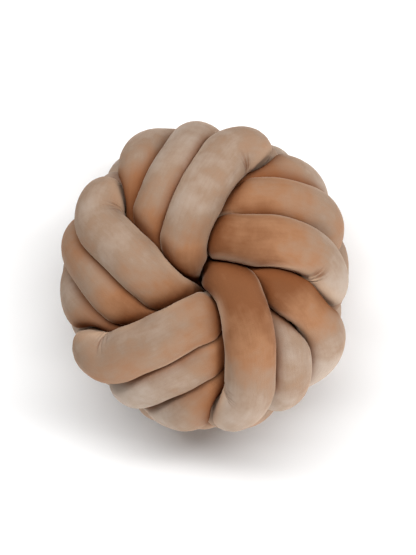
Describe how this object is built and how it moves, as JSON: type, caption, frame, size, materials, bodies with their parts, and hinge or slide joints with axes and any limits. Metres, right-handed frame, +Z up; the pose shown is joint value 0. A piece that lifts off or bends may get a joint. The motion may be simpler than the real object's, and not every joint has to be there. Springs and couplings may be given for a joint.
{
  "type": "knot cushion",
  "caption": "Ball-shaped velvet cushion knotted from one long stuffed tube, whose bands swirl out of the middle and cross over one another.",
  "frame": {"origin": "middle of the cushion's outline, at the floor that it lies on", "axes": "+Z up and out of the face, +X to the right of the face, +Y to the top of the face"},
  "size_m": [0.291, 0.308, 0.2513],
  "materials": {
    "velvet": "short-pile velvet, matt with a pale sheen"
  },
  "bodies": {
    "root": {"knot_tube": "velvet"}
  },
  "joints": []
}
